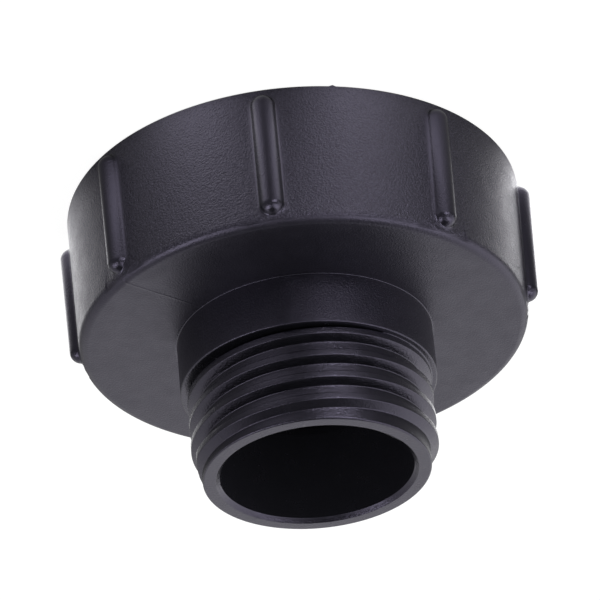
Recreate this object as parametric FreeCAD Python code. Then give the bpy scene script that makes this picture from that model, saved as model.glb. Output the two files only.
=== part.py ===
import FreeCAD, Part
import math
import os

# Reducing adapter for the threaded outlet of a bulk liquid tank.
# All lengths are in millimetres and all angles in degrees.
# +Z runs along the axis from the open rim of the cup to the mouth of the
# spigot. The origin is on the axis in the plane of the rim.

# Cup: its wall is measured at the rim, down to the root of the female thread
cup_rim_dia = 113.0
cup_height = 37.4
cup_draft_angle = 1.6
cup_wall_thickness = 6.2
web_thickness = 4.2
web_corner_radius = 2.4
rim_edge_radius = 0.7

# Grip ribs round the cup: their feet, start and end are measured where they
# enter the wall, and their height from the wall at the rim
rib_count = 8
rib_foot_width = 7.0
rib_top_width = 3.2
rib_height = 3.0
rib_start = 0.9
rib_end_margin = 2.2
rib_draft_angle = 1.9
rib_top_radius = 1.1
rib_embed = 0.8

# Neck between the web and the male thread
neck_dia = 63.0
neck_length = 13.5
neck_edge_radius = 0.5
neck_root_radius = 0.4

# Spigot and its bore
total_height = 75.4
mouth_edge_radius = 0.5
bore_dia = 47.2
mouth_chamfer = 1.0
throat_dia = 54.0
throat_edge_radius = 1.2

# Male thread: coarse buttress, right-hand, its steep side towards the web
male_pitch = 6.0
male_crest_dia = 60.0
male_depth = 2.2
male_crest_width = 1.7
male_crest_corner = 0.25
male_load_flank = 5.0
male_lead_flank = 30.0
male_end_gap = 2.5
male_end_angle = 0.0
male_fade_angle = 24.0

# Female thread: coarse buttress, right-hand, its steep side towards the web;
# its end gap is from the middle of its crest to the sealing ring
female_pitch = 8.0
female_root_dia = cup_rim_dia - 2 * cup_wall_thickness
female_depth = 2.7
female_crest_width = 2.2
female_crest_corner = 0.4
female_load_flank = 5.0
female_lead_flank = 30.0
female_start_height = 5.6
female_start_angle = 20.0
female_end_gap = 2.6
female_fade_angle = 16.0

# Plain entry at the rim and the corner at the bottom of the cup
entry_clearance = 0.8
entry_depth = 2.4
entry_chamfer = 0.6
seat_corner_radius = 0.6

# Flat sealing ring against the inside of the web
gasket_thickness = 3.5
gasket_width = 8.6
gasket_seat_clearance = 0.1
gasket_edge_radius = 0.3

# How far a thread's ridge is rooted in the wall that carries it, how far its
# pared ends dip below the root, and how far the paring runs past the end, as
# a share of its length
ridge_embed = 0.8
fade_dip = 0.08
fade_overrun = 0.25

# Values that follow from the sizes above
cup_rim_radius = cup_rim_dia / 2
cup_web_radius = cup_rim_radius - cup_height * math.tan(math.radians(cup_draft_angle))
web_inner_z = cup_height - web_thickness
neck_radius = neck_dia / 2
neck_end_z = cup_height + neck_length
bore_radius = bore_dia / 2
throat_radius = throat_dia / 2
male_crest_radius = male_crest_dia / 2
male_root_radius = male_crest_radius - male_depth
male_end_z = total_height - male_end_gap
female_root_radius = female_root_dia / 2
female_crest_radius = female_root_radius - female_depth
entry_radius = female_root_radius + entry_clearance
gasket_outer_radius = female_root_radius - seat_corner_radius - gasket_seat_clearance
gasket_inner_radius = gasket_outer_radius - gasket_width
gasket_face_z = web_inner_z - gasket_thickness
female_end_z = gasket_face_z - female_end_gap
female_turns = (female_end_z - female_start_height) / female_pitch

axis = FreeCAD.Vector(0, 0, 1)
origin = FreeCAD.Vector(0, 0, 0)


def point(radius, z, angle=0.0):
    """The place at a radius, a height and an angle about the axis."""
    turn = math.radians(angle)
    return FreeCAD.Vector(radius * math.cos(turn), radius * math.sin(turn), z)


def section(corners):
    """A closed wire beside the axis through (radius, z, rounding) corners."""
    places = [point(radius, z) for radius, z, bend in corners]
    bends = [bend for radius, z, bend in corners]
    arcs = {}
    for index, here in enumerate(places):
        if bends[index] == 0:
            continue
        back = (places[index - 1] - here).normalize()
        ahead = (places[(index + 1) % len(places)] - here).normalize()
        half_angle = back.getAngle(ahead) / 2
        reach = bends[index] / math.tan(half_angle)
        rise = bends[index] / math.sin(half_angle) - bends[index]
        middle = here + (back + ahead).normalize() * rise
        arcs[index] = (here + back * reach, middle, here + ahead * reach)
    edges = []
    for index, here in enumerate(places):
        following = (index + 1) % len(places)
        leaving = here
        if index in arcs:
            edges.append(Part.Arc(*arcs[index]).toShape())
            leaving = arcs[index][2]
        arriving = arcs[following][0] if following in arcs else places[following]
        edges.append(Part.LineSegment(leaving, arriving).toShape())
    return Part.Wire(edges)


def turned(corners):
    """A solid of revolution from (radius, z, rounding) corners."""
    return Part.Face(section(corners)).revolve(origin, axis, 360)


def moulding():
    """Cup, web, neck, thread core and bore, before ribs and threads."""
    return turned([
        (entry_radius + entry_chamfer, 0, 0),
        (cup_rim_radius, 0, rim_edge_radius),
        (cup_web_radius, cup_height, web_corner_radius),
        (neck_radius, cup_height, neck_root_radius),
        (neck_radius, neck_end_z, neck_edge_radius),
        (male_root_radius, neck_end_z, 0),
        (male_root_radius, total_height, mouth_edge_radius),
        (bore_radius + mouth_chamfer, total_height, 0),
        (bore_radius, total_height - mouth_chamfer, 0),
        (bore_radius, neck_end_z, 0),
        (throat_radius, web_inner_z, throat_edge_radius),
        (female_root_radius, web_inner_z, seat_corner_radius),
        (female_root_radius, entry_depth, 0),
        (entry_radius, entry_depth, 0),
        (entry_radius, entry_chamfer, 0),
    ])


def pill(width, low, high, x):
    """An outline across X with two straight sides and two round ends."""
    half = width / 2
    left_low = FreeCAD.Vector(x, -half, low + half)
    left_high = FreeCAD.Vector(x, -half, high - half)
    right_low = FreeCAD.Vector(x, half, low + half)
    right_high = FreeCAD.Vector(x, half, high - half)
    top = FreeCAD.Vector(x, 0, high)
    bottom = FreeCAD.Vector(x, 0, low)
    return Part.Wire([
        Part.LineSegment(left_low, left_high).toShape(),
        Part.Arc(left_high, top, right_high).toShape(),
        Part.LineSegment(right_high, right_low).toShape(),
        Part.Arc(right_low, bottom, left_low).toShape(),
    ])


def grip_rib():
    """The rib at angle 0: a long pill with sloping sides and a rounded top.

    It is made upright against the plane X = 0 and then leans with its draft.
    """
    slope = (rib_foot_width - rib_top_width) / 2 / rib_height
    high = cup_height - rib_end_margin
    under = slope * rib_embed
    over = slope * rib_height
    inner = pill(rib_foot_width + 2 * under, rib_start - under, high + under, -rib_embed)
    outer = pill(rib_top_width, rib_start + over, high - over, rib_height)
    solid = Part.makeLoft([inner, outer], True, True)
    top_edges = [edge for edge in solid.Edges if edge.BoundBox.XMin > rib_height - 0.01]
    solid = solid.makeFillet(rib_top_radius, top_edges)
    solid.rotate(origin, FreeCAD.Vector(0, 1, 0), -rib_draft_angle)
    solid.translate(FreeCAD.Vector(cup_rim_radius, 0, 0))
    return solid


def grip_ribs():
    """All the ribs, evenly spaced round the cup."""
    ribs = []
    for index in range(rib_count):
        rib = grip_rib()
        rib.rotate(origin, axis, 360.0 * index / rib_count)
        ribs.append(rib)
    return ribs


def ridge(pitch, turns, root_radius, crest_radius, crest_width, corner, low_flank, high_flank):
    """A helical ridge that starts at angle 0 with the middle of its crest at z = 0.

    Each flank is given by its angle from a plane across the axis. The ridge
    stands outward or inward, and its foot is rooted past the root radius.
    """
    outward = 1 if crest_radius > root_radius else -1
    foot_radius = root_radius - outward * ridge_embed
    height = abs(crest_radius - foot_radius)
    half = crest_width / 2
    low = half + height * math.tan(math.radians(low_flank))
    high = half + height * math.tan(math.radians(high_flank))
    profile = section([
        (foot_radius, -low, 0),
        (crest_radius, -half, corner),
        (crest_radius, half, corner),
        (foot_radius, high, 0),
    ])
    spine = Part.makeHelix(pitch, pitch * turns, crest_radius)
    return Part.Wire(spine.Edges).makePipeShell([profile], True, True)


def fade(root_radius, crest_radius, angle, span, z, pitch):
    """A block that pares the end of a ridge down to its root.

    The ridge ends at the angle and the height; the span is how far back along
    it the paring begins, with the sign of the way back.
    """
    outward = 1 if crest_radius > root_radius else -1
    under = root_radius - outward * fade_dip
    clear = crest_radius + outward * pitch
    low = z - pitch / 2
    past = angle - span * fade_overrun
    corners = [
        point(crest_radius, low, angle + span),
        point(under, low, angle),
        point(under, low, past),
        point(clear, low, past),
        point(clear, low, angle + span),
    ]
    face = Part.Face(Part.makePolygon(corners + corners[:1]))
    return face.extrude(FreeCAD.Vector(0, 0, pitch))


def male_ridge():
    """The spigot's thread: it leaves the neck and fades out short of the mouth."""
    end_middle_z = male_end_z - male_crest_width / 2
    start_middle_z = neck_end_z - male_pitch / 2
    turns = (end_middle_z - start_middle_z) / male_pitch
    solid = ridge(
        male_pitch, turns, male_root_radius, male_crest_radius,
        male_crest_width, male_crest_corner, male_load_flank, male_lead_flank,
    )
    solid.rotate(origin, axis, male_end_angle - 360.0 * turns)
    solid.translate(FreeCAD.Vector(0, 0, start_middle_z))
    return solid.cut(fade(
        male_root_radius, male_crest_radius, male_end_angle,
        -male_fade_angle, end_middle_z, male_pitch,
    ))


def female_ridge():
    """The cup's thread: it fades in behind the rim and out below the seal."""
    end_angle = female_start_angle + 360.0 * female_turns
    solid = ridge(
        female_pitch, female_turns, female_root_radius, female_crest_radius,
        female_crest_width, female_crest_corner, female_lead_flank, female_load_flank,
    )
    solid.rotate(origin, axis, female_start_angle)
    solid.translate(FreeCAD.Vector(0, 0, female_start_height))
    return solid.cut([
        fade(
            female_root_radius, female_crest_radius, female_start_angle,
            female_fade_angle, female_start_height, female_pitch,
        ),
        fade(
            female_root_radius, female_crest_radius, end_angle,
            -female_fade_angle, female_end_z, female_pitch,
        ),
    ])


def adapter_body():
    """The one-piece moulding."""
    return moulding().fuse(grip_ribs() + [male_ridge(), female_ridge()])


def sealing_gasket():
    """The flat ring that lies against the inside of the web."""
    return turned([
        (gasket_inner_radius, gasket_face_z, gasket_edge_radius),
        (gasket_outer_radius, gasket_face_z, gasket_edge_radius),
        (gasket_outer_radius, web_inner_z, gasket_edge_radius),
        (gasket_inner_radius, web_inner_z, gasket_edge_radius),
    ])


os.makedirs("parts", exist_ok=True)
for node, shape in (("adapter_body", adapter_body()), ("sealing_gasket", sealing_gasket())):
    solid = shape.Solids[0]
    print(node, "solids:", len(shape.Solids), "valid:", shape.isValid(), "volume:", round(shape.Volume, 1))
    solid.exportStep("parts/" + node + ".step")
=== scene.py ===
import math

import bmesh
import bpy
from mathutils import Matrix, Vector


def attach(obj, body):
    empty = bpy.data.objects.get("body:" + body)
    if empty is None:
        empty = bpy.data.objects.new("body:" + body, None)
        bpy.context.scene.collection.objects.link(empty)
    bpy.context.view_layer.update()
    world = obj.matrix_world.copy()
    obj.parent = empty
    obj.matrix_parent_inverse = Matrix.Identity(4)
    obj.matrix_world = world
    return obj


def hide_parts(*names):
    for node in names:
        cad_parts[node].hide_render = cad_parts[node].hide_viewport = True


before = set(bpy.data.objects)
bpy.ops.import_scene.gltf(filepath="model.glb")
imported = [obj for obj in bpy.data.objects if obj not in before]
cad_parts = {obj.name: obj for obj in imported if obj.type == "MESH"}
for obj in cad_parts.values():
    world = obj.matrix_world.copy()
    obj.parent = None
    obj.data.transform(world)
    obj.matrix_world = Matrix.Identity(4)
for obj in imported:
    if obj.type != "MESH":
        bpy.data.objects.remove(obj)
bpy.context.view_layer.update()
print("frame loaded:", sorted(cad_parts))

mm = 0.001
noiseLow, noiseHigh = 0.35, 0.65                     # most of a noise texture's values lie between
colourA, colourB, colourOut = 6, 7, 2                # where a Mix node has its colours


def toLinear(hexColour):
    # sRGB hex to the linear colour that the shaders take
    parts = [int(hexColour[place:place + 2], 16) / 255 for place in (1, 3, 5)]
    linear = [part / 12.92 if part <= 0.04045 else ((part + 0.055) / 1.055) ** 2.4
              for part in parts]
    return (*linear, 1.0)


def addNode(tree, kind, settings=None, links=None):
    # one node; number keys and names set inputs, other keys set properties; a link comes from an
    # output, or from the first output of a node
    node = tree.nodes.new(kind)
    for key, value in (settings or {}).items():
        if isinstance(key, int) or key in node.inputs:
            node.inputs[key].default_value = value
        else:
            setattr(node, key, value)
    for key, source in (links or {}).items():
        output = source.outputs[0] if isinstance(source, bpy.types.Node) else source
        tree.links.new(output, node.inputs[key])
    return node


def newMaterial(name):
    # an empty node material with its output
    material = bpy.data.materials.new(name)
    material.use_nodes = True
    material.node_tree.nodes.clear()
    output = addNode(material.node_tree, "ShaderNodeOutputMaterial")
    return material, material.node_tree, output


def patternScale(millimetres):
    # scale of a texture whose features are that wide, on object coordinates in metres
    return 1 / (millimetres * mm)


# the moulded body, worked out in millimetres and degrees

body = {
    "rimRadius": 56.5, "cupHeight": 37.4, "draftAngle": 1.6, "rimEdge": 0.7, "cornerRadius": 2.4,
    # the web falls a little over the cup's wall
    "webSlopeFrom": 50.6, "webSlopeDrop": 0.12, "webSlopeBend": 2.0,
    # a rib's section is half round as far as the turn, then straight down to a hollow at its foot,
    # which is wider along the rib's sides
    "ribCount": 8, "ribHeight": 3.0, "ribDraft": 1.9, "ribRound": 2.9, "ribRoundTurn": 80.0,
    "ribFootBend": 1.1, "ribSideBend": 0.8,
    "ribSpineLow": 5.2, "ribSpineHigh": 32.1,        # the middles of the ribs' half-round ends
    "neckRadius": 31.5, "neckEnd": 50.9, "neckRoot": 0.2, "neckEdge": 0.4, "shoulderRadius": 30.4,
    # the mouth's edge begins just above the thread's last row
    "mouthHeight": 75.4, "mouthEdge": 0.48, "boreRadius": 23.6, "mouthChamfer": 1.0,
    "throatRadius": 27.0, "throatEdge": 1.2, "throatBend": 2.0, "webInner": 33.2,
    "entryRadius": 51.1, "entryDepth": 2.4, "entryChamfer": 0.6, "seatBend": 0.6,
    "fineEdge": 0.12,                                # what a sharp moulded edge really is
    "partingRises": {315.0: 0.05, 135.0: 0.015},     # how proud the parting lines stand, by angle
    # a nub of flash on the rim, and a curl of flash inside the mouth between two angles, whose
    # ends taper over a share of its length
    "nubAngle": 252.6, "nubHalfAngle": 0.9, "nubRise": 0.4,
    "curlFrom": 203.0, "curlTo": 236.0, "curlRise": 0.45, "curlTaper": 0.25,
}

maleThread = {
    "root": 27.8, "crest": 30.0, "pitch": 6.0, "crestWidth": 1.7, "crestBend": 0.25,
    "rootBend": 0.3, "lowFlank": 5.0, "highFlank": 30.0, "low": 50.9, "high": 74.9,
    "endAngle": 0.0, "endHeight": 72.05, "turns": 4.025, "startFade": 0.0, "endFade": 24.0,
    "fadeDip": 0.08, "bendSteps": 3, "runSteps": 3,
}

femaleThread = {
    "root": 50.3, "crest": 47.6, "pitch": 8.0, "crestWidth": 2.2, "crestBend": 0.4,
    "rootBend": 0.3, "lowFlank": 30.0, "highFlank": 5.0, "low": 2.4, "high": 32.6,
    "endAngle": 267.5, "endHeight": 27.1, "turns": 2.6875, "startFade": 16.0, "endFade": 16.0,
    "fadeDip": 0.08, "bendSteps": 2, "runSteps": 2,
}

# how the body's mesh is laid out
layout = {
    "columnsBetweenRibs": 18, "patchAngle": 7.2,     # a rib's patch reaches so far to either side
    # columns across a patch, as shares of its half width; the close pair in the middle carries
    # the parting line
    "patchShares": (-1, -0.8, -0.61, -0.44, -0.3, -0.19, -0.1, -0.045, -0.016,
                    0.016, 0.045, 0.1, 0.19, 0.3, 0.44, 0.61, 0.8, 1),
    "partingShare": 0.02,                            # columns nearer than this share are that pair
    "patchInset": 6,                                 # a patch starts and ends so far into an arc
    "patchRings": (0.55, 0.22),                      # rings between a patch's edge and a rib's foot
    "ribArcSteps": 10, "ribFootSteps": 4,
    "wallRounds": 6, "footRounds": 8,                # of the search for the wall and a rib's foot
    "nubReach": 2.0, "sameColumn": 0.1,              # degrees
    # the longest steps along straight runs, in mm
    "outerRun": 1.7, "innerRun": 5.0, "entryRun": 3.0, "threadRun": 0.7,
    # a thread's rows, tried for so many turns both ways and kept for so many pitches past its ends
    "turnsTried": 12, "pitchesBelow": 2, "pitchesAbove": 1.1,
    # mm: the gap that keeps two rows apart, points that are merged, and edges that are dropped
    "rowGap": 0.001, "weldReach": 0.003, "sliverReach": 0.0005,
    "flatFaceWeight": 60,                            # how far large faces govern the shading
}


def roundedRun(corners, longest):
    # a line through (radius, height, bend, steps) corners, with its bends drawn as arcs; also the
    # first and last point of each corner
    points = []
    marks = []
    for index, (radius, height, bend, steps) in enumerate(corners):
        here = Vector((radius, height))
        first = len(points)
        if bend == 0:
            points.append(here)
        else:
            back = (Vector(corners[index - 1][:2]) - here).normalized()
            ahead = (Vector(corners[index + 1][:2]) - here).normalized()
            halfAngle = back.angle(ahead) / 2
            reach = bend / math.tan(halfAngle)
            centre = here + (back + ahead).normalized() * (bend / math.sin(halfAngle))
            fromSpoke = here + back * reach - centre
            toSpoke = here + ahead * reach - centre
            sweep = fromSpoke.angle(toSpoke)
            for step in range(steps + 1):
                share = step / steps
                spoke = fromSpoke * math.sin((1 - share) * sweep)
                spoke += toSpoke * math.sin(share * sweep)
                points.append(centre + spoke / math.sin(sweep))
        marks.append((first, len(points) - 1))
    # long straight runs get points of their own
    filled = []
    place = {}
    for index, here in enumerate(points):
        place[index] = len(filled)
        filled.append(here)
        if index + 1 < len(points):
            gap = (points[index + 1] - here).length
            pieces = max(1, math.ceil(gap / longest))
            for piece in range(1, pieces):
                filled.append(here.lerp(points[index + 1], piece / pieces))
    return filled, [(place[first], place[last]) for first, last in marks]


def columnAngles():
    # the angles of all columns, from the seam once round
    angles = []
    pitch = 360 / body["ribCount"]
    reach = layout["patchAngle"]
    openSpan = pitch / 2 - reach
    half = layout["columnsBetweenRibs"] // 2
    for rib in range(body["ribCount"]):
        middle = rib * pitch
        low = middle - pitch / 2
        angles += [low + openSpan * step / half for step in range(half)]
        angles += [middle + reach * share for share in layout["patchShares"]]
        angles += [middle + reach + openSpan * step / half for step in range(1, half)]
    # the columns beside the nub stand close to it
    for column, angle in enumerate(angles):
        away = angle % 360 - body["nubAngle"]
        if layout["sameColumn"] < abs(away) < layout["nubReach"]:
            angles[column] += math.copysign(body["nubHalfAngle"], away) - away
    return angles


def ridgeTable(thread):
    # (distance from the crest's middle, height) pairs across one ridge, low side first
    depth = abs(thread["crest"] - thread["root"])
    half = thread["crestWidth"] / 2
    lowRun = depth * math.tan(math.radians(thread["lowFlank"]))
    highRun = depth * math.tan(math.radians(thread["highFlank"]))
    rest = thread["pitch"] - thread["crestWidth"] - lowRun - highRun
    corners = [
        (-half - lowRun - rest / 2, 0, 0, 0),
        (-half - lowRun, 0, thread["rootBend"], thread["bendSteps"]),
        (-half, depth, thread["crestBend"], thread["bendSteps"]),
        (half, depth, thread["crestBend"], thread["bendSteps"]),
        (half + highRun, 0, thread["rootBend"], thread["bendSteps"]),
        (half + highRun + rest / 2, 0, 0, 0),
    ]
    longest = max(rest / 2 / thread["runSteps"], layout["threadRun"])
    return [(point.x, point.y) for point in roundedRun(corners, longest)[0]]


def ridgeHeight(table, across):
    # the ridge's height at a distance from its middle
    if across <= table[0][0] or across >= table[-1][0]:
        return 0.0
    for (x0, h0), (x1, h1) in zip(table, table[1:]):
        if x0 <= across <= x1:
            return h0 if x1 == x0 else h0 + (h1 - h0) * (across - x0) / (x1 - x0)
    return 0.0


def threadRadius(thread, table, height, angle):
    # the radius of the threaded surface at a height and a column's angle
    depth = abs(thread["crest"] - thread["root"])
    outward = 1 if thread["crest"] > thread["root"] else -1
    best = 0.0
    base = thread["endHeight"] + thread["pitch"] * (angle - thread["endAngle"]) / 360
    nearest = round((height - base) / thread["pitch"])
    for turn in (nearest - 1, nearest, nearest + 1):
        past = angle - thread["endAngle"] + 360 * turn           # 0 at the end, less before it
        before = past + 360 * thread["turns"]                    # 0 at the start
        if past > 0 or before < 0:
            continue
        rise = ridgeHeight(table, height - base - thread["pitch"] * turn)
        # the ends are pared down to a little below the root
        for gone, fade in ((-past, thread["endFade"]), (before, thread["startFade"])):
            if fade and gone < fade:
                pared = (depth + thread["fadeDip"]) * gone / fade - thread["fadeDip"]
                rise = min(rise, max(0.0, pared))
        best = max(best, rise)
    return thread["root"] + outward * best


def threadRows(thread, angles):
    # rows that climb with the thread, clamped to its span; also how many rows make one turn
    table = ridgeTable(thread)
    steps = [across for across, height in table[:-1]]
    pitch = thread["pitch"]
    base = thread["endHeight"] + pitch * (angles[0] - thread["endAngle"]) / 360
    turns = range(-layout["turnsTried"], layout["turnsTried"])
    starts = sorted(base + pitch * turn + across for turn in turns for across in steps)
    lowest = thread["low"] - layout["pitchesBelow"] * pitch
    highest = thread["high"] + layout["pitchesAbove"] * pitch
    grid = []
    for start in starts:
        if lowest < start < highest:
            line = []
            for angle in angles:
                height = start + pitch * (angle - angles[0]) / 360
                height = min(max(height, thread["low"]), thread["high"])
                line.append((threadRadius(thread, table, height, angle), height))
            grid.append(line)
    return grid, len(steps)


def buildBody():
    angles = columnAngles()
    columns = len(angles)
    vertices = []
    faces = []

    def partingRise(angle):
        # how proud the mould's parting line stands at a column
        for line, rise in body["partingRises"].items():
            away = abs((angle - line + 180) % 360 - 180)
            if away < layout["patchAngle"] * layout["partingShare"]:
                return rise
        return 0.0

    def addRow(line):
        # a row of (radius, height) pairs, one to a column
        first = len(vertices)
        for (radius, height), angle in zip(line, angles):
            turn = math.radians(angle)
            vertices.append((radius * math.cos(turn), radius * math.sin(turn), height))
        return first

    def joinRows(low, high, skip=None):
        for column in range(columns):
            if skip and skip(column):
                continue
            after = (column + 1) % columns
            faces.append((low + column, low + after, high + after, high + column))

    # outer side, from the rim's edge over the cup, the web and the neck to the thread
    slope = math.tan(math.radians(body["draftAngle"]))
    webRadius = body["rimRadius"] - body["cupHeight"] * slope
    outer, marks = roundedRun([
        (body["entryRadius"] + body["entryChamfer"], 0, 0, 0),
        (body["rimRadius"], 0, body["rimEdge"], 8),
        (webRadius, body["cupHeight"] - body["webSlopeDrop"], body["cornerRadius"], 14),
        (body["webSlopeFrom"], body["cupHeight"], body["webSlopeBend"], 4),
        (body["neckRadius"], body["cupHeight"], body["neckRoot"], 4),
        (body["neckRadius"], body["neckEnd"], body["neckEdge"], 5),
        (body["shoulderRadius"], body["neckEnd"], 0, 0),
    ], layout["outerRun"])
    rimEnd = marks[1][1]
    patchLow = marks[1][0] + layout["patchInset"]
    patchHigh = marks[2][0] + layout["patchInset"]
    patchRows = patchHigh - patchLow

    # which way a parting line or the nub stands proud, from each row's own direction
    rows = []
    for index, point in enumerate(outer):
        before = outer[max(index - 1, 0)]
        after = outer[min(index + 1, len(outer) - 1)]
        along = (after - before).normalized()
        proud = Vector((along.y, -along.x))
        line = []
        for angle in angles:
            rise = partingRise(angle) if index > patchHigh else 0.0
            nubAway = abs(angle % 360 - body["nubAngle"])
            if 0 < index <= rimEnd and nubAway < layout["sameColumn"]:
                rise = body["nubRise"] * math.sin(math.pi * index / (rimEnd + 1))
            line.append((point.x + proud.x * rise, max(point.y + proud.y * rise, 0.0)))
        rows.append(addRow(line))

    patchColumns = len(layout["patchShares"]) - 1
    half = layout["columnsBetweenRibs"] // 2
    blockSize = columns // body["ribCount"]

    def inPatch(column):
        place = column % blockSize
        return half <= place < half + patchColumns

    for index in range(len(rows) - 1):
        skip = inPatch if patchLow <= index < patchHigh else None
        joinRows(rows[index], rows[index + 1], skip)

    # the grip ribs, each a set of rings round its spine, fitted into its patch; a rib is laid out
    # by its height over a plane that leans with its draft, and by the length along that plane; its
    # half-round section stays inside the sloping one of the CAD part
    spineLow, spineHigh = body["ribSpineLow"], body["ribSpineHigh"]
    roundTurn = math.radians(body["ribRoundTurn"])
    lean = math.radians(body["ribDraft"])
    leanCos, leanSin = math.cos(lean), math.sin(lean)
    wallSpan = outer[patchLow:patchHigh + 1]

    def outerRadius(z):
        for low, high in zip(wallSpan, wallSpan[1:]):
            if z <= high.y:
                share = min(max((z - low.y) / (high.y - low.y), 0), 1)
                return low.x + (high.x - low.x) * share
        return wallSpan[-1].x

    def leaning(height, y, length):
        return Vector((body["rimRadius"] + height * leanCos - length * leanSin, y,
                       length * leanCos + height * leanSin))

    def wallHeight(y, length):
        # how far the wall stands from the leaning plane, nearer with each round
        height = 0.0
        for attempt in range(layout["wallRounds"]):
            wall = math.sqrt(outerRadius(length * leanCos + height * leanSin) ** 2 - y * y)
            height = (wall - body["rimRadius"] + length * leanSin) / leanCos
        return height

    def roundSection(turn):
        # how far out and how high the half-round section is after a turn from its top
        return (body["ribRound"] * math.sin(turn),
                body["ribHeight"] - body["ribRound"] * (1 - math.cos(turn)))

    def ribRay(spine, sideways, upward):
        # points along one ray from the rib's spine to just past its foot, as (x, y, z)
        def at(distance, height=None):
            y, length = sideways * distance, spine + upward * distance
            return leaning(wallHeight(y, length) if height is None else height, y, length)

        steps = layout["ribArcSteps"]
        ray = [at(*roundSection(roundTurn * step / steps)) for step in range(steps + 1)]
        sideEnd = ray[-1]
        sideOut, sideHeight = roundSection(roundTurn)
        # where the straight side meets the wall
        foot = sideOut
        for attempt in range(layout["footRounds"]):
            drop = sideHeight - wallHeight(sideways * foot, spine + upward * foot)
            foot = sideOut + drop / math.tan(roundTurn)
        ending = at(foot + body["ribFootBend"] + body["ribSideBend"] * abs(sideways))
        footPoint = at(foot)
        for step in range(1, layout["ribFootSteps"] + 1):
            share = step / layout["ribFootSteps"]
            ray.append(sideEnd.lerp(footPoint, share).lerp(footPoint.lerp(ending, share), share))
        return ray

    # rays round the lower end, up one side, round the upper end and down the other side
    span = spineHigh - spineLow
    turns = [math.pi * step / patchColumns for step in range(patchColumns)]
    climbs = [span * step / patchRows for step in range(patchRows)]
    rays = [ribRay(spineLow, -math.cos(turn), -math.sin(turn)) for turn in turns]
    rays += [ribRay(spineLow + climb, 1, 0) for climb in climbs]
    rays += [ribRay(spineHigh, math.cos(turn), math.sin(turn)) for turn in turns]
    rays += [ribRay(spineHigh - climb, -1, 0) for climb in climbs]

    for rib in range(body["ribCount"]):
        left = rib * blockSize + half
        right = left + patchColumns
        edge = [rows[patchLow] + column for column in range(left, right)]
        edge += [rows[patchLow + step] + right for step in range(patchRows)]
        edge += [rows[patchHigh] + column for column in range(right, left, -1)]
        edge += [rows[patchHigh - step] + left for step in range(patchRows)]
        spin = Matrix.Rotation(math.radians(rib * 360 / body["ribCount"]), 3, "Z")
        back = spin.transposed()
        rings = [edge]
        for level in layout["patchRings"]:
            ring = []
            for index, ray in enumerate(rays):
                middle = ray[-1].lerp(back @ Vector(vertices[edge[index]]), level)
                middle.x = math.sqrt(outerRadius(middle.z) ** 2 - middle.y ** 2)
                ring.append(len(vertices))
                vertices.append(tuple(spin @ middle))
            rings.append(ring)
        for place in range(len(rays[0]) - 1, -1, -1):
            ring = []
            for ray in rays:
                ring.append(len(vertices))
                vertices.append(tuple(spin @ ray[place]))
            rings.append(ring)
        for outerRing, innerRing in zip(rings, rings[1:]):
            for index in range(len(edge)):
                after = (index + 1) % len(edge)
                faces.append((outerRing[index], outerRing[after],
                              innerRing[after], innerRing[index]))

    def addThread(thread, downward):
        # a threaded surface, whose rows climb one pitch in a turn
        grid, perTurn = threadRows(thread, angles)
        starts = []
        outward = 1 if thread["crest"] > thread["root"] else -1
        for line in grid:
            raised = []
            for (radius, height), angle in zip(line, angles):
                proud = partingRise(angle) if outward > 0 else 0.0
                raised.append((radius + proud, height))
            starts.append(addRow(raised))
        last = len(starts) - 1
        for index in range(last):
            low, high = starts[index], starts[index + 1]
            for column in range(columns):
                if column + 1 < columns:
                    lowAfter, highAfter = low + column + 1, high + column + 1
                else:
                    # once round, each row meets the one a turn above it
                    lowAfter = starts[min(index + perTurn, last)]
                    highAfter = starts[min(index + 1 + perTurn, last)]
                quad = (low + column, lowAfter, highAfter, high + column)
                faces.append(tuple(reversed(quad)) if downward else quad)
        return starts

    male = addThread(maleThread, False)
    joinRows(rows[-1], male[0])

    # mouth, bore, throat and the inside of the web
    fine = body["fineEdge"]
    mouth, neckEnd = body["mouthHeight"], body["neckEnd"]
    inner, marks = roundedRun([
        (maleThread["root"], maleThread["high"], 0, 0),
        (maleThread["root"], mouth, body["mouthEdge"], 5),
        (body["boreRadius"] + body["mouthChamfer"], mouth, fine, 2),
        (body["boreRadius"], mouth - body["mouthChamfer"], fine, 2),
        (body["boreRadius"], neckEnd, body["throatBend"], 3),
        (body["throatRadius"], body["webInner"], body["throatEdge"], 5),
        (femaleThread["root"], body["webInner"], body["seatBend"], 4),
        (femaleThread["root"], femaleThread["high"] - layout["rowGap"], 0, 0),
    ], layout["innerRun"])
    innerRows = []
    for index, point in enumerate(inner):
        line = []
        for angle in angles:
            rise = partingRise(angle) if index <= marks[1][1] else 0.0
            if index == marks[3][0] + 1 and body["curlFrom"] < angle % 360 < body["curlTo"]:
                share = (angle % 360 - body["curlFrom"]) / (body["curlTo"] - body["curlFrom"])
                toEnd = min(share, 1 - share)
                rise = -body["curlRise"] * min(1.0, toEnd / body["curlTaper"])
            line.append((point.x + rise, point.y))
        innerRows.append(addRow(line))
    for low, high in zip(innerRows, innerRows[1:]):
        joinRows(low, high)

    female = addThread(femaleThread, True)
    joinRows(innerRows[-1], female[-1])

    # plain entry, back to the rim's edge
    entry, marks = roundedRun([
        (femaleThread["root"], femaleThread["low"], 0, 0),
        (body["entryRadius"], body["entryDepth"], fine, 2),
        (body["entryRadius"], body["entryChamfer"], fine, 2),
        (body["entryRadius"] + body["entryChamfer"], 0, 0, 0),
    ], layout["entryRun"])
    entryRows = [addRow([(point.x, point.y)] * columns) for point in entry]
    for low, high in zip(entryRows, entryRows[1:]):
        joinRows(low, high)

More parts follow.
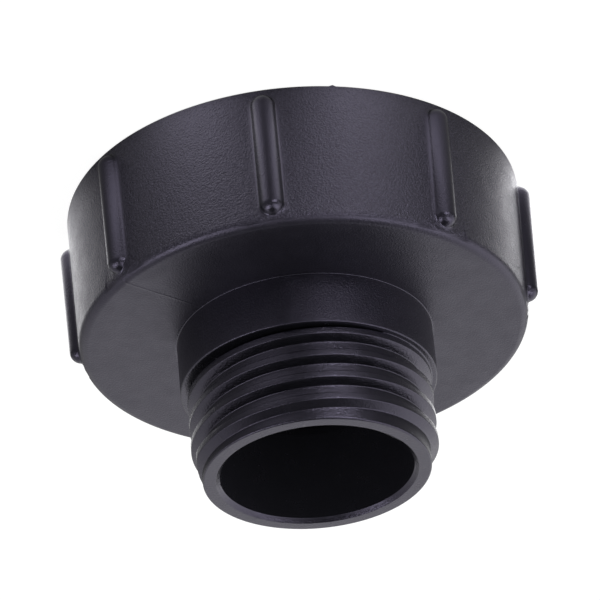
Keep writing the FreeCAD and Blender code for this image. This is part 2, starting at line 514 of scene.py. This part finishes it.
    scaled = [tuple(value * mm for value in vertex) for vertex in vertices]
    mesh = bpy.data.meshes.new("adapterBodyMoulded")
    mesh.from_pydata(scaled, [], faces)
    work = bmesh.new()
    work.from_mesh(mesh)
    bmesh.ops.remove_doubles(work, verts=work.verts, dist=layout["weldReach"] * mm)
    bmesh.ops.dissolve_degenerate(work, dist=layout["sliverReach"] * mm, edges=work.edges)
    loose = [vertex for vertex in work.verts if not vertex.link_faces]
    bmesh.ops.delete(work, geom=loose, context="VERTS")
    opened = [edge for edge in work.edges if len(edge.link_faces) != 2]
    print("body mesh: vertices", len(work.verts), "faces", len(work.faces),
          "open edges", len(opened), "volume cm3", round(work.calc_volume() * 1e6, 2))
    work.to_mesh(mesh)
    work.free()
    for polygon in mesh.polygons:
        polygon.use_smooth = True
    piece = bpy.data.objects.new("adapterBodyMoulded", mesh)
    bpy.context.scene.collection.objects.link(piece)
    return piece


bodyPiece = buildBody()
weighted = bodyPiece.modifiers.new("flatFaces", "WEIGHTED_NORMAL")
weighted.weight = layout["flatFaceWeight"]
weighted.keep_sharp = True
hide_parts("adapter_body")
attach(bodyPiece, "root")
print("body built")


# moulded black polypropylene: a near black with a faint blue cast and a soft, waxy sheen, whose
# violet tint is painted light; the etched grain of the mould breaks up the light on the wall and
# the neck

plastic = {
    # the wall's lighter grey is partly its etched finish and partly painted light, as the wall
    # catches more light than the web
    "colour": "#0f0f12", "wallFinishAndLightColour": "#222127", "borePaintedLightColour": "#1b1b1f",
    "roughness": 0.235, "wallRoughness": 0.32, "webRoughness": 0.38, "neckRoughness": 0.40,
    "roughnessSpread": 0.04, "patchWidth": 5.0,      # mm; duller and glossier patches
    "patchNoise": {"Detail": 4.0, "Roughness": 0.6},
    # painted light: the sheen's violet tint stands in for violet light, since a plastic's sheen
    # takes its light's colour
    "ior": 1.49, "sheenLightTint": "#e3daff", "specularLevel": 0.78,
    "grainWidth": 0.48, "grainHeight": 0.29,         # mm; the etched grain of the mould
    "grainNoise": {"Detail": 2.0, "Roughness": 0.6},
    "neckGrain": 0.42, "smoothGrain": 0.3,           # how much the neck and the other faces keep
    # painted shade and light: the grain's hollows are painted darker and its tops lighter
    "grainShadeContrast": 0.95,                           # how much darker its hollows are
    "waveWidth": 9.0, "waveHeight": 0.02,            # mm; shrinkage waves
    "waveNoise": {"Detail": 1.0, "Roughness": 0.4},
    # pale specks of dust and bloom, in the cells whose random value is over the threshold
    "speckColour": "#77757c", "speckSpacing": 5.5, "speckWidth": 0.16,
    "speckThreshold": 0.72, "speckStrength": 0.35,
}


def plasticMaterial():
    material, tree, output = newMaterial("mouldedPolypropyleneBlack")
    at = addNode(tree, "ShaderNodeTexCoord").outputs["Object"]
    height = addNode(tree, "ShaderNodeSeparateXYZ", {}, {0: at}).outputs["Z"]
    flat = addNode(tree, "ShaderNodeVectorMath", {"operation": "MULTIPLY", 1: (1, 1, 0)}, {0: at})
    length = addNode(tree, "ShaderNodeVectorMath", {"operation": "LENGTH"}, {0: flat})
    radius = length.outputs["Value"]

    # where the finishes of the mould lie: from, to and the soft edge outside the two, in mm
    pastAll = 70.0                                   # a radius that is past the whole part
    cupTop, neckTop = body["cupHeight"], body["neckEnd"]
    zones = {
        "wallRadius": (53.5, pastAll, 0.3), "wallHeight": (-1.0, cupTop - 2.0, 1.2),
        "webRadius": (body["neckRadius"] + 0.6, pastAll, 0.2),
        "webHeight": (cupTop - 0.8, cupTop + 0.2, 1.2),
        "neckRadius": (body["neckRadius"] - 0.2, body["neckRadius"] + 0.2, 0.1),
        "neckHeight": (cupTop + 0.5, neckTop - 0.3, 0.2),
        "betweenRibs": (0.0, body["rimRadius"] + 0.05, 0.15),
        "outsideBore": (body["boreRadius"] + 0.4, pastAll, 0.1),
    }

    def within(source, zone):
        # 1 where the value lies in the zone, falling to 0 over the soft edge outside it
        low, high, soft = zones[zone]
        rise = addNode(tree, "ShaderNodeMapRange", {
            "From Min": (low - soft) * mm, "From Max": low * mm}, {"Value": source})
        fall = addNode(tree, "ShaderNodeMapRange", {
            "From Min": high * mm, "From Max": (high + soft) * mm, "To Min": 1.0, "To Max": 0.0},
            {"Value": source})
        return addNode(tree, "ShaderNodeMath", {"operation": "MULTIPLY"}, {0: rise, 1: fall})

    # where the mould was treated: the cup's wall, the web and the neck
    treated = {}
    for name in ("wall", "web", "neck"):
        treated[name] = addNode(tree, "ShaderNodeMath", {"operation": "MULTIPLY"}, {
            0: within(radius, name + "Radius"), 1: within(height, name + "Height")})
    # the ribs, which stand out from the drafted wall, were not
    undrafted = addNode(tree, "ShaderNodeMath", {
        "operation": "MULTIPLY_ADD", 1: math.tan(math.radians(body["draftAngle"]))},
        {0: height, 2: radius})
    treated["wall"] = addNode(tree, "ShaderNodeMath", {"operation": "MULTIPLY"}, {
        0: treated["wall"], 1: within(undrafted, "betweenRibs")})
    outer = within(radius, "outsideBore")

    # the sheen varies from place to place, and is duller where the mould was treated
    patches = addNode(tree, "ShaderNodeTexNoise", {
        "Scale": patternScale(plastic["patchWidth"]), **plastic["patchNoise"]}, {"Vector": at})
    shine = addNode(tree, "ShaderNodeMapRange", {
        "From Min": noiseLow, "From Max": noiseHigh,
        "To Min": plastic["roughness"] - plastic["roughnessSpread"],
        "To Max": plastic["roughness"] + plastic["roughnessSpread"]}, {"Value": patches})
    for name, share in treated.items():
        shine = addNode(tree, "ShaderNodeMath", {
            "operation": "MULTIPLY_ADD", 1: plastic[name + "Roughness"] - plastic["roughness"]},
            {0: share, 2: shine})

    # the grain of the mould, full on the wall, less on the neck and on smooth faces; its hollows
    # are painted darker and its tops lighter, painted shade and light that go with its bumps
    grain = addNode(tree, "ShaderNodeTexNoise", {
        "Scale": patternScale(plastic["grainWidth"]), **plastic["grainNoise"]}, {"Vector": at})
    neckShare = addNode(tree, "ShaderNodeMath", {
        "operation": "MULTIPLY", 1: plastic["neckGrain"]}, {0: treated["neck"]})
    etched = addNode(tree, "ShaderNodeMath", {"operation": "MAXIMUM"}, {
        0: treated["wall"], 1: neckShare})
    grainShare = addNode(tree, "ShaderNodeMath", {
        "operation": "MAXIMUM", 1: plastic["smoothGrain"]}, {0: etched})
    grainShare = addNode(tree, "ShaderNodeMath", {"operation": "MULTIPLY"}, {
        0: grainShare, 1: outer})
    hollow = addNode(tree, "ShaderNodeMapRange", {
        "From Min": noiseLow, "From Max": noiseHigh,
        "To Min": plastic["grainShadeContrast"], "To Max": -plastic["grainShadeContrast"]},
        {"Value": grain})
    grainShadeShare = addNode(tree, "ShaderNodeMath", {"operation": "MULTIPLY"}, {
        0: hollow, 1: grainShare})
    grainShading = addNode(tree, "ShaderNodeMath", {"operation": "SUBTRACT", 0: 1.0}, {1: grainShadeShare})

    # the specks, one in the middle of each chosen cell, none in the bore
    cells = addNode(tree, "ShaderNodeTexVoronoi", {
        "Scale": patternScale(plastic["speckSpacing"]), "Randomness": 1.0}, {"Vector": at})
    near = addNode(tree, "ShaderNodeMapRange", {
        "From Min": plastic["speckWidth"] / plastic["speckSpacing"] / 2,
        "From Max": plastic["speckWidth"] / plastic["speckSpacing"],
        "To Min": 1.0, "To Max": 0.0}, {"Value": cells.outputs["Distance"]})
    drawn = addNode(tree, "ShaderNodeSeparateColor", {}, {"Color": cells.outputs["Color"]})
    chosen = addNode(tree, "ShaderNodeMath", {
        "operation": "GREATER_THAN", 1: plastic["speckThreshold"]}, {0: drawn.outputs["Red"]})
    speck = addNode(tree, "ShaderNodeMath", {"operation": "MULTIPLY"}, {0: near, 1: chosen})
    speck = addNode(tree, "ShaderNodeMath", {"operation": "MULTIPLY"}, {0: speck, 1: outer})
    speck = addNode(tree, "ShaderNodeMath", {
        "operation": "MULTIPLY", 1: plastic["speckStrength"]}, {0: speck})

    # the colour: ground, wall and bore greys with painted light, grain with painted shading, specks
    ground = addNode(tree, "ShaderNodeMix", {
        "data_type": "RGBA", colourA: toLinear(plastic["colour"]),
        colourB: toLinear(plastic["wallFinishAndLightColour"])}, {0: treated["wall"]})
    # inside the bore a grey of its own, a touch lighter than the body's: painted light in the
    # bore's shade
    ground = addNode(tree, "ShaderNodeMix", {
        "data_type": "RGBA", colourA: toLinear(plastic["borePaintedLightColour"])},
        {0: outer, colourB: ground.outputs[colourOut]})
    groundWithGrainShading = addNode(tree, "ShaderNodeVectorMath", {"operation": "SCALE"}, {
        0: ground.outputs[colourOut], "Scale": grainShading})
    colour = addNode(tree, "ShaderNodeMix", {
        "data_type": "RGBA", colourB: toLinear(plastic["speckColour"])},
        {0: speck, colourA: groundWithGrainShading})

    waves = addNode(tree, "ShaderNodeTexNoise", {
        "Scale": patternScale(plastic["waveWidth"]), **plastic["waveNoise"]}, {"Vector": at})
    waveBump = addNode(tree, "ShaderNodeBump", {
        "Strength": 1.0, "Distance": plastic["waveHeight"] * mm}, {"Height": waves})
    grainBump = addNode(tree, "ShaderNodeBump", {"Distance": plastic["grainHeight"] * mm}, {
        "Height": grain, "Normal": waveBump, "Strength": grainShare})
    shader = addNode(tree, "ShaderNodeBsdfPrincipled", {
        "IOR": plastic["ior"], "Specular IOR Level": plastic["specularLevel"],
        "Specular Tint": toLinear(plastic["sheenLightTint"])},
        {"Base Color": colour.outputs[colourOut], "Roughness": shine, "Normal": grainBump})
    tree.links.new(shader.outputs[0], output.inputs["Surface"])
    return material


bodyPiece.data.materials.append(plasticMaterial())
print("body finished")


# the sealing ring: moulded black EPDM rubber, matt, with a fine dull bloom that greys it in clouds

rubber = {
    "colour": "#101010", "roughness": 0.72,
    "bloomColour": "#1c1c1d", "bloomWidth": 3.0, "bloomFrom": 0.4, "bloomTo": 0.7,
    "bloomNoise": {"Detail": 5.0, "Roughness": 0.65},
    "grainWidth": 0.3, "grainHeight": 0.01, "grainNoise": {"Detail": 2.0},
}


def rubberMaterial():
    material, tree, output = newMaterial("mouldedRubberBlack")
    at = addNode(tree, "ShaderNodeTexCoord").outputs["Object"]
    bloom = addNode(tree, "ShaderNodeTexNoise", {
        "Scale": patternScale(rubber["bloomWidth"]), **rubber["bloomNoise"]}, {"Vector": at})
    share = addNode(tree, "ShaderNodeMapRange", {
        "From Min": rubber["bloomFrom"], "From Max": rubber["bloomTo"]}, {"Value": bloom})
    colour = addNode(tree, "ShaderNodeMix", {
        "data_type": "RGBA", colourA: toLinear(rubber["colour"]),
        colourB: toLinear(rubber["bloomColour"])}, {0: share})
    grain = addNode(tree, "ShaderNodeTexNoise", {
        "Scale": patternScale(rubber["grainWidth"]), **rubber["grainNoise"]}, {"Vector": at})
    bump = addNode(tree, "ShaderNodeBump", {
        "Strength": 1.0, "Distance": rubber["grainHeight"] * mm}, {"Height": grain})
    shader = addNode(tree, "ShaderNodeBsdfPrincipled", {"Roughness": rubber["roughness"]}, {
        "Base Color": colour.outputs[colourOut], "Normal": bump})
    tree.links.new(shader.outputs[0], output.inputs["Surface"])
    return material


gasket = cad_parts["sealing_gasket"]
gasket.data.materials.clear()
gasket.data.materials.append(rubberMaterial())
print("sealing ring finished")


# floor, light and camera

studio = {
    # the floor lies a hair (mm) below the rim, so that the two don't coincide, and the camera sees
    # it with a glow of its own
    "floorSize": 6.0, "floorColour": "#808080", "floorShade": 0.9, "floorDrop": 0.05,
    # painted reflections: the floor glows for a sheen alone, though it is no lamp
    # what a sheen sees of the floor: its strength by angle from the camera's side, near the object
    "floorGlow": {
        -180: 1.2, -120: 2.8, -98: 5.4, -85: 3.6, -75: 1.45, -65: 0.3, -52: 0.12, -42: 0.24,
        -32: 0.62, -25: 1.24, -18: 1.78, -12: 1.45, -4: 0.54, 3: 0.26, 8: 0.5, 13: 1.06, 20: 1.72,
        27: 1.5, 34: 0.76, 41: 0.2, 50: 0.1, 58: 0.12, 66: 0.46, 75: 1.15, 85: 1.85, 100: 2.4,
        125: 1.8, 180: 1.2,
    },
    # and its share by distance from the axis, in metres
    "floorFade": ((0.0555, 0.0), (0.0565, 1.0), (0.088, 1.0), (0.116, 0.44), (0.145, 0.12)),
    # a glowing stripe further off on the floor, a painted reflection that only a sheen sees: its
    # angle and width in degrees, and its near edge in metres
    "glowStripeAngle": -25.0, "glowStripeHalfWidth": 9.0, "glowStripeSoft": 14.0, "glowStripeFrom": (0.20, 0.28),
    "glowStripeStrength": 7.0,
    # the sky is tilted, brighter to one side; it darkens overhead between two elevations, and in
    # front between two shares of the way to the camera's side
    "skyStrength": 1.03, "skyTilt": 0.55, "darkFrom": 50.0, "darkTo": 66.0, "darkStrength": 0.12,
    "frontFrom": 0.0, "frontTo": 0.65, "frontStrength": 0.32,
    "boxes": {
        "softboxRight": {"azimuth": -142.0, "elevation": 42.0, "distance": 1.3,
                         "size": (1.2, 0.42), "power": 4.2},
        "softboxLeft": {"azimuth": -38.0, "elevation": 42.0, "distance": 1.3,
                        "size": (1.1, 0.42), "power": 5.0},
    },
}

view = {
    "azimuth": -94.8, "elevation": 30.82, "roll": 174.585, "distance": 1.0462,
    "aimHeight": 0.0259, "shiftPixels": 1.0, "focalPixels": 4230.0, "imageWidth": 600.0,
    "sensorWidth": 36.0, "clip": (0.05, 20),
}


def towards(azimuth, elevation):
    # the unit vector at an azimuth from +X and an elevation above the XY plane
    turn, rise = math.radians(azimuth), math.radians(elevation)
    return Vector((math.cos(rise) * math.cos(turn), math.cos(rise) * math.sin(turn),
                   math.sin(rise)))


def setRamp(ramp, stops):
    # grey stops as (position, level) pairs; a new ramp has two of its own
    for number, (position, level) in enumerate(stops):
        stop = ramp.elements[number] if number < 2 else ramp.elements.new(position)
        stop.position = position
        stop.color = (level, level, level, 1)


def floorMaterial():
    # white board; the camera sees it plain, a sheen sees a glow on it that paints reflections
    material, tree, output = newMaterial("whiteBoardWithPaintedGlow")
    at = addNode(tree, "ShaderNodeTexCoord").outputs["Object"]
    turned = addNode(tree, "ShaderNodeMapping", {
        "vector_type": "TEXTURE", "Rotation": (0, 0, math.radians(view["azimuth"]))},
        {"Vector": at})
    parts = addNode(tree, "ShaderNodeSeparateXYZ", {}, {0: turned})
    angle = addNode(tree, "ShaderNodeMath", {"operation": "ARCTAN2"}, {
        0: parts.outputs["Y"], 1: parts.outputs["X"]})
    length = addNode(tree, "ShaderNodeVectorMath", {"operation": "LENGTH"}, {0: at})
    distance = length.outputs["Value"]

    # the glow paints reflections on the part, laid out for the cup's wall
    # the glow's angle is that of the place on the cup's wall that mirrors this place on the floor
    doubled = addNode(tree, "ShaderNodeMath", {
        "operation": "MULTIPLY_ADD", 1: 2.0, 2: -body["rimRadius"] * mm}, {0: distance})
    spread = addNode(tree, "ShaderNodeMath", {"operation": "DIVIDE"}, {0: distance, 1: doubled})
    onWall = addNode(tree, "ShaderNodeMath", {"operation": "MULTIPLY"}, {0: angle, 1: spread})
    share = addNode(tree, "ShaderNodeMath", {
        "operation": "MULTIPLY_ADD", 1: 0.5 / math.pi, 2: 0.5}, {0: onWall})
    profile = addNode(tree, "ShaderNodeValToRGB", {}, {0: share})
    top = max(studio["floorGlow"].values())
    setRamp(profile.color_ramp, [(degrees / 360 + 0.5, strength / top)
                                 for degrees, strength in studio["floorGlow"].items()])
    fade = addNode(tree, "ShaderNodeValToRGB", {}, {0: distance})
    setRamp(fade.color_ramp, studio["floorFade"])
    sheen = addNode(tree, "ShaderNodeMath", {"operation": "MULTIPLY", 1: top}, {0: profile})
    near = addNode(tree, "ShaderNodeMath", {"operation": "MULTIPLY"}, {0: sheen, 1: fade})

    # the painted stripe, a glow for a sheen only
    off = addNode(tree, "ShaderNodeMath", {
        "operation": "SUBTRACT", 1: math.radians(studio["glowStripeAngle"])}, {0: angle})
    offSize = addNode(tree, "ShaderNodeMath", {"operation": "ABSOLUTE"}, {0: off})
    stripeAcross = addNode(tree, "ShaderNodeMapRange", {
        "interpolation_type": "SMOOTHSTEP", "From Min": math.radians(studio["glowStripeHalfWidth"]),
        "From Max": math.radians(studio["glowStripeHalfWidth"] + studio["glowStripeSoft"]),
        "To Min": studio["glowStripeStrength"], "To Max": 0.0}, {"Value": offSize})
    stripeAlong = addNode(tree, "ShaderNodeMapRange", {
        "interpolation_type": "SMOOTHSTEP",
        "From Min": studio["glowStripeFrom"][0], "From Max": studio["glowStripeFrom"][1]},
        {"Value": distance})
    paintedReflectionGlow = addNode(tree, "ShaderNodeMath", {"operation": "MULTIPLY_ADD"}, {
        0: stripeAcross, 1: stripeAlong, 2: near})

    # the painted glow reaches sheen rays alone; the camera sees the floor plain
    path = addNode(tree, "ShaderNodeLightPath")
    bySheen = addNode(tree, "ShaderNodeMath", {"operation": "MAXIMUM"}, {
        0: path.outputs["Is Glossy Ray"], 1: path.outputs["Is Transmission Ray"]})
    inSheen = addNode(tree, "ShaderNodeMath", {"operation": "MULTIPLY"}, {
        0: bySheen, 1: paintedReflectionGlow})
    seen = addNode(tree, "ShaderNodeMath", {
        "operation": "MULTIPLY", 1: studio["floorShade"]}, {0: path.outputs["Is Camera Ray"]})
    glow = addNode(tree, "ShaderNodeMath", {"operation": "ADD"}, {0: seen, 1: inSheen})
    dull = addNode(tree, "ShaderNodeBsdfDiffuse", {"Color": toLinear(studio["floorColour"])})
    light = addNode(tree, "ShaderNodeEmission", {}, {"Strength": glow})
    both = addNode(tree, "ShaderNodeAddShader", {}, {0: dull, 1: light})
    tree.links.new(both.outputs[0], output.inputs["Surface"])
    return material


def buildFloor():
    half = studio["floorSize"] / 2
    corners = [(-half, -half, 0), (half, -half, 0), (half, half, 0), (-half, half, 0)]
    mesh = bpy.data.meshes.new("paleFloor")
    mesh.from_pydata(corners, [], [(0, 1, 2, 3)])
    floor = bpy.data.objects.new("paleFloor", mesh)
    bpy.context.scene.collection.objects.link(floor)
    floor.location.z = -studio["floorDrop"] * mm
    floor.data.materials.append(floorMaterial())


def buildSky():
    # white for the eye; for light and reflections darker straight above and on the camera's side,
    # and brighter to the right of the picture
    world = bpy.data.worlds.new("studioSky")
    bpy.context.scene.world = world
    world.use_nodes = True
    tree = world.node_tree
    tree.nodes.clear()
    output = addNode(tree, "ShaderNodeOutputWorld")
    path = addNode(tree, "ShaderNodeLightPath")
    way = addNode(tree, "ShaderNodeTexCoord").outputs["Generated"]
    parts = addNode(tree, "ShaderNodeSeparateXYZ", {}, {0: way})
    sky = addNode(tree, "ShaderNodeMapRange", {
        "From Min": math.sin(math.radians(studio["darkFrom"])),
        "From Max": math.sin(math.radians(studio["darkTo"])),
        "To Min": studio["skyStrength"], "To Max": studio["darkStrength"]},
        {"Value": parts.outputs["Z"]})
    facing = addNode(tree, "ShaderNodeVectorMath", {
        "operation": "DOT_PRODUCT", 1: towards(view["azimuth"], 0)}, {0: way})
    front = addNode(tree, "ShaderNodeMapRange", {
        "From Min": studio["frontFrom"], "From Max": studio["frontTo"],
        "To Min": 1.0, "To Max": studio["frontStrength"]}, {"Value": facing.outputs["Value"]})
    aside = addNode(tree, "ShaderNodeVectorMath", {
        "operation": "DOT_PRODUCT", 1: towards(view["azimuth"] - 90, 0)}, {0: way})
    tilt = addNode(tree, "ShaderNodeMath", {
        "operation": "MULTIPLY_ADD", 1: studio["skyTilt"], 2: 1.0}, {0: aside.outputs["Value"]})
    level = addNode(tree, "ShaderNodeMath", {"operation": "MULTIPLY"}, {0: sky, 1: front})
    level = addNode(tree, "ShaderNodeMath", {"operation": "MULTIPLY"}, {0: level, 1: tilt})
    # the camera itself sees a plain white
    strength = addNode(tree, "ShaderNodeMix", {"data_type": "FLOAT", 3: 1.0}, {
        0: path.outputs["Is Camera Ray"], 2: level})
    light = addNode(tree, "ShaderNodeBackground", {"Color": (1, 1, 1, 1)}, {
        "Strength": strength})
    tree.links.new(light.outputs[0], output.inputs["Surface"])


def buildLamps():
    # softboxes, each turned to the object
    for name, box in studio["boxes"].items():
        data = bpy.data.lights.new(name, "AREA")
        data.shape = "RECTANGLE"
        data.size, data.size_y = box["size"]
        data.energy = box["power"]
        lamp = bpy.data.objects.new(name, data)
        bpy.context.scene.collection.objects.link(lamp)
        way = towards(box["azimuth"], box["elevation"])
        lamp.location = way * box["distance"]
        lamp.rotation_euler = way.to_track_quat("Z", "Y").to_euler()


def buildCamera():
    # the photograph's camera, rolled by almost half a turn
    data = bpy.data.cameras.new("photoCamera")
    data.sensor_fit = "HORIZONTAL"
    data.sensor_width = view["sensorWidth"]
    data.lens = view["focalPixels"] * view["sensorWidth"] / view["imageWidth"]
    data.shift_x = -view["shiftPixels"] / view["imageWidth"]
    data.clip_start, data.clip_end = view["clip"]
    camera = bpy.data.objects.new("photoCamera", data)
    bpy.context.scene.collection.objects.link(camera)
    back = towards(view["azimuth"], view["elevation"])
    levelRight = (-back).cross(Vector((0, 0, 1))).normalized()
    levelUp = levelRight.cross(-back)
    roll = math.radians(view["roll"])
    right = levelRight * math.cos(roll) + levelUp * math.sin(roll)
    up = levelUp * math.cos(roll) - levelRight * math.sin(roll)
    turn = Matrix((right, up, back)).transposed()
    aim = Vector((0, 0, view["aimHeight"]))
    camera.matrix_world = Matrix.Translation(aim + back * view["distance"]) @ turn.to_4x4()
    bpy.context.scene.camera = camera


buildFloor()
buildSky()
buildLamps()
buildCamera()
bpy.context.scene.view_settings.view_transform = "Standard"
print("studio built")
